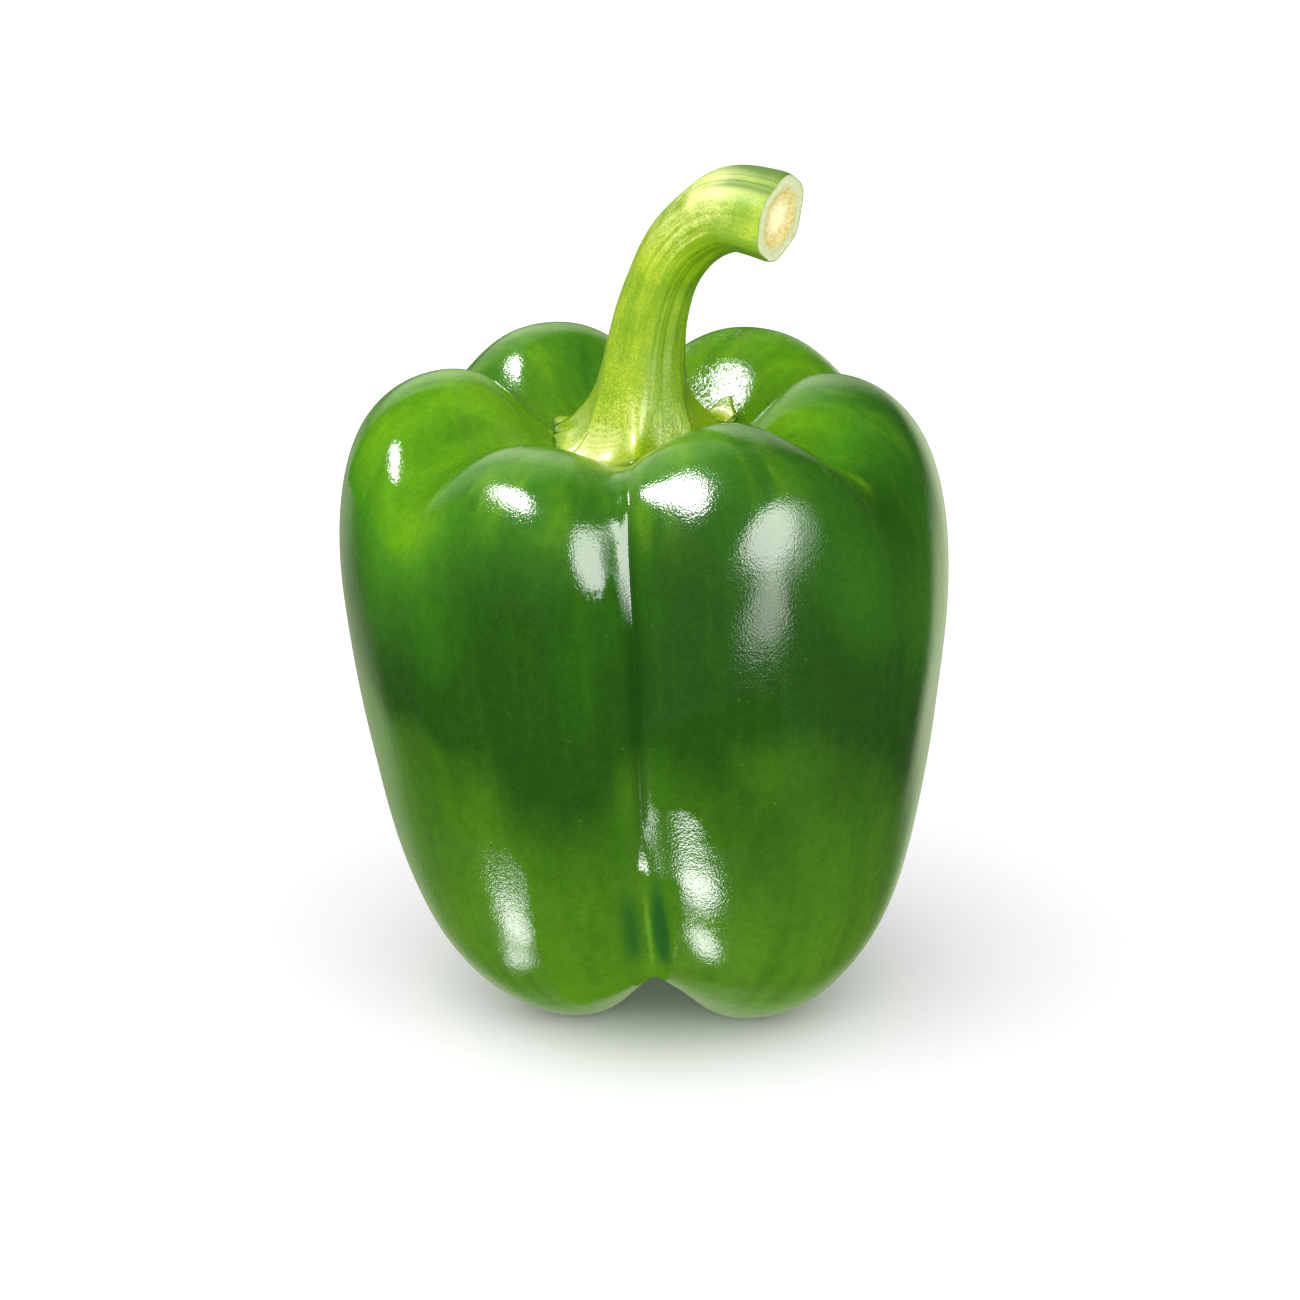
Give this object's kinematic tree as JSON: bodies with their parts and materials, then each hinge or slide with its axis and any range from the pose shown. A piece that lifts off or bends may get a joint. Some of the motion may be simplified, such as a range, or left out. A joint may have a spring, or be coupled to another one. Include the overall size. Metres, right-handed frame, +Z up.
{
  "type": "bell pepper",
  "caption": "Green bell pepper standing on its blossom end: blocky lobed fruit with deep shoulder folds, and a thick curved stem on a toothed calyx.",
  "frame": {"origin": "on the ground plane, under the middle of the fruit's outline seen from above", "axes": "+Z up from the blossom end to the stem; -Y towards the viewer, facing the fruit's deepest groove; the stem's cut end points to +X and -Y"},
  "size_m": [0.0872, 0.0862, 0.1284],
  "materials": {
    "skin": "glossy, waxy pepper skin, deep green with yellower shoulders and foot",
    "stem": "satin yellow-green stem and calyx with long fibres and a pale cut end"
  },
  "bodies": {
    "root": {"fruit": "skin", "stem_and_calyx": "stem"}
  },
  "joints": []
}
